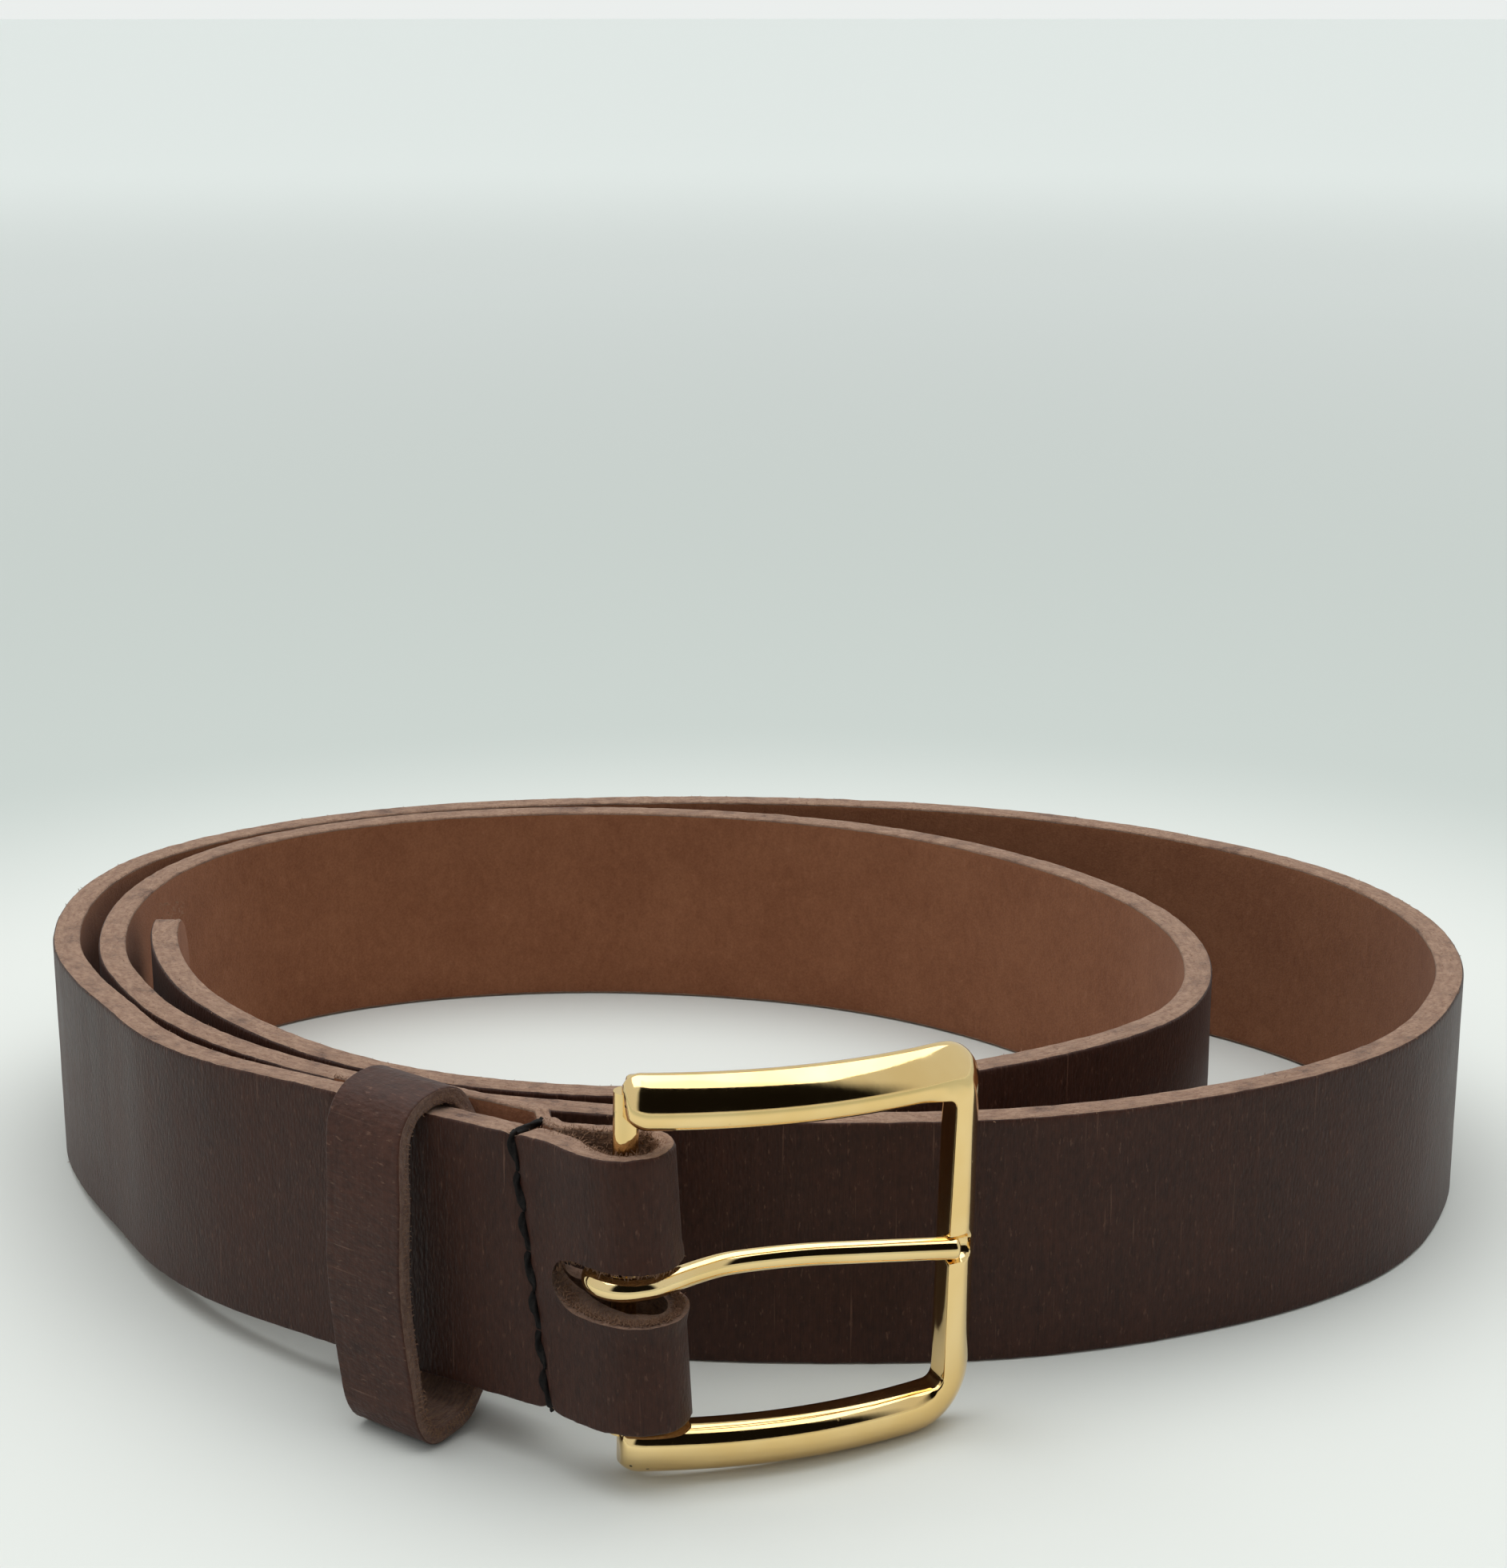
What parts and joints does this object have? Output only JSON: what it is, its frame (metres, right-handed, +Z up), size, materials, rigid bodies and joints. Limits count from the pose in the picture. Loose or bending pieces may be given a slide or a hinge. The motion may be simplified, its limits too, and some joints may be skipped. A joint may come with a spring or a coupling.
{
  "type": "leather belt",
  "caption": "Coiled leather belt standing on its edge: long strap folded and sewn round a square centre-bar buckle with a wire prong, and a leather keeper loop.",
  "frame": {"origin": "under the middle of the coiled belt, on the plane that it stands on", "axes": "+X along the coil's longest side, towards the end that the buckle's front rail points to; +Y from the buckle across the coil; +Z up, along the strap's width"},
  "size_m": [0.2226, 0.1994, 0.0533],
  "materials": {
    "strap_leather": "dark brown full grain, satin",
    "keeper_leather": "dark brown full grain, creased",
    "brassed_wire": "plain",
    "polished_gold": "mirror polished",
    "polished_gold_wire": "mirror polished",
    "waxed_thread": "waxed"
  },
  "bodies": {
    "strap_body": {"strap": "strap_leather", "seam_thread_buckle_side": "waxed_thread", "seam_thread_far_side": "waxed_thread"},
    "buckle": {"buckle_frame": "polished_gold"},
    "prong": {"buckle_prong": "polished_gold_wire"},
    "keeper": {"keeper_loop": "keeper_leather", "keeper_staple": "brassed_wire"}
  },
  "joints": [
    {"name": "buckle_swing", "type": "hinge", "parent": "strap_body", "child": "buckle", "pos_m": [-0.01462, -0.09205, 0.0272], "axis": [0.025, 0.009, 0.9996], "range_deg": [-77, 10]},
    {"name": "prong_swing", "type": "hinge", "parent": "buckle", "child": "prong", "pos_m": [-0.01462, -0.09205, 0.0272], "axis": [0.025, 0.009, 0.9996], "range_deg": [-68, 0]},
    {"name": "keeper_slide", "type": "slide", "parent": "strap_body", "child": "keeper", "axis": [0.7909, -0.609, 0.0599], "range_m": [0, 0.007]}
  ]
}
